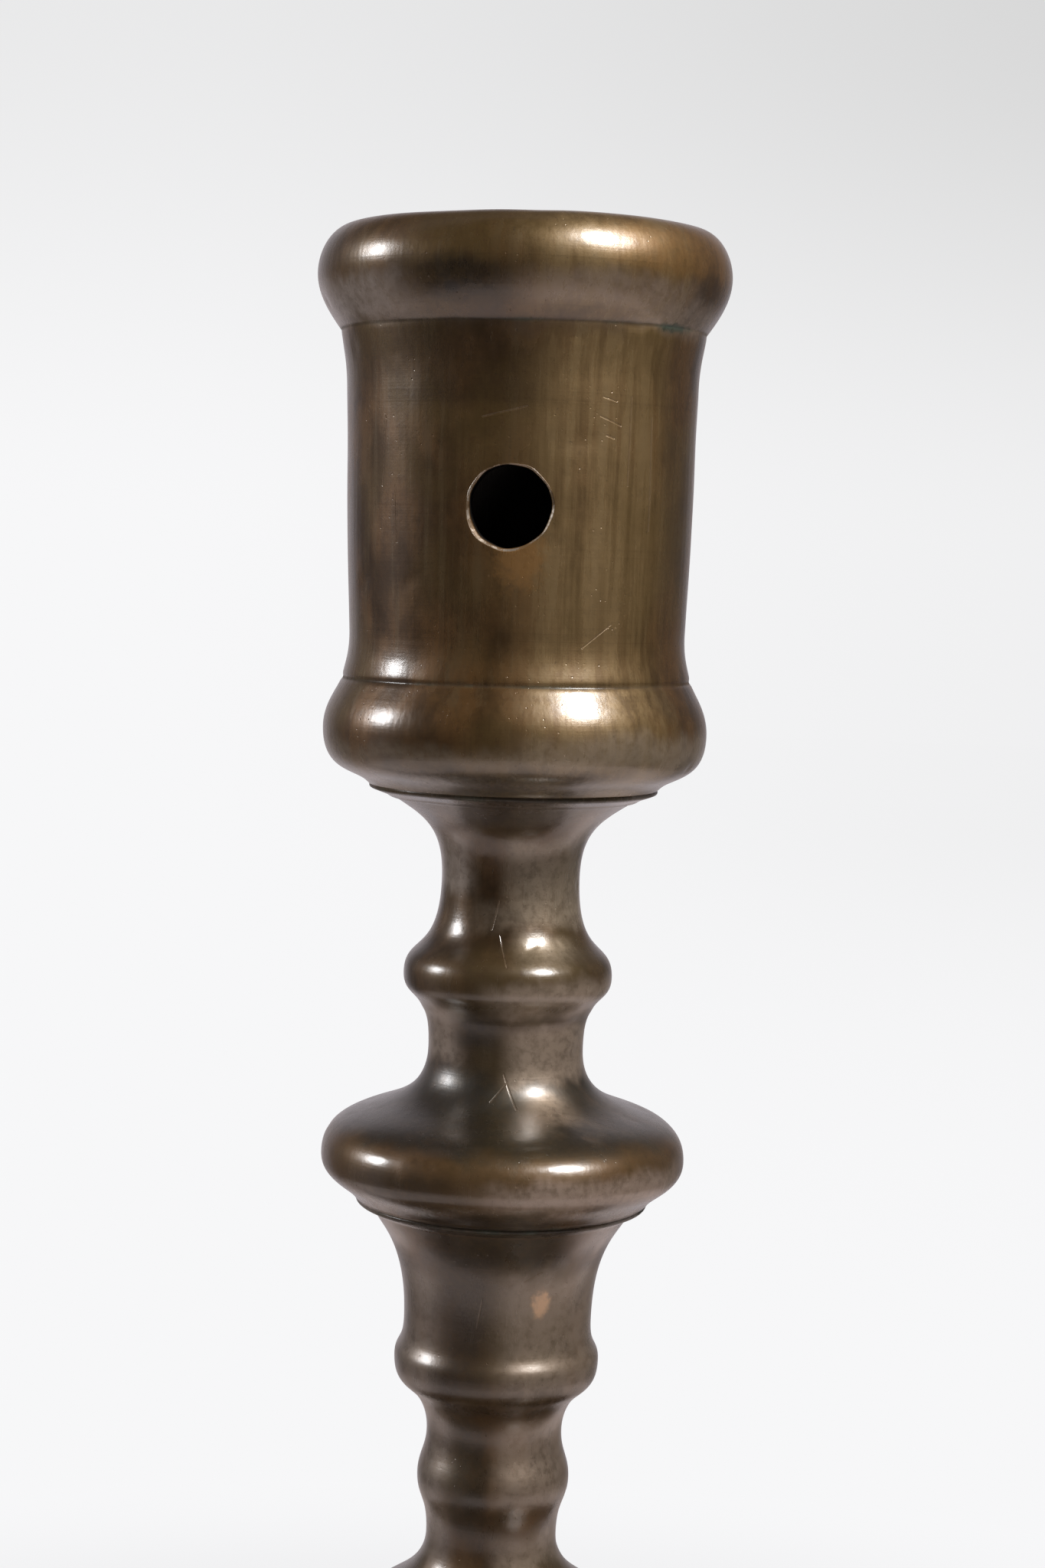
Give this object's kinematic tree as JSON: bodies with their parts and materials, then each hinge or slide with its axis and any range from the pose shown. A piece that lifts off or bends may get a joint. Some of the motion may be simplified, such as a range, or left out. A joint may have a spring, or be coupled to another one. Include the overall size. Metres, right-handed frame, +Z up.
{
  "type": "candlestick",
  "caption": "Turned bronze candlestick: rolled-rim candle socket with an extraction hole, knopped baluster stem, drip pan and hollow bell foot, drawn together by a tenon and nut.",
  "frame": {"origin": "centre of the foot's underside, on the surface that the candlestick stands on", "axes": "+Z up along the turning axis; -Y towards the extraction hole"},
  "size_m": [0.114, 0.114, 0.1928],
  "materials": {
    "candle_socket": "dark brown patina, handled to a gloss, fine vertical scratches",
    "upper_stem": "dark brown patina, handled to a gloss",
    "lower_stem": "dark brown patina with a green tinge in the hollows",
    "drip_pan": "dark brown patina, fine turning lines",
    "base": "dark brown patina, handled to a gloss",
    "base_washer": "dark oxidised iron",
    "base_nut": "dark oxidised iron"
  },
  "bodies": {
    "root": {"candle_socket": "candle_socket", "upper_stem": "upper_stem", "lower_stem": "lower_stem", "drip_pan": "drip_pan", "base": "base", "base_washer": "base_washer", "base_nut": "base_nut"}
  },
  "joints": []
}
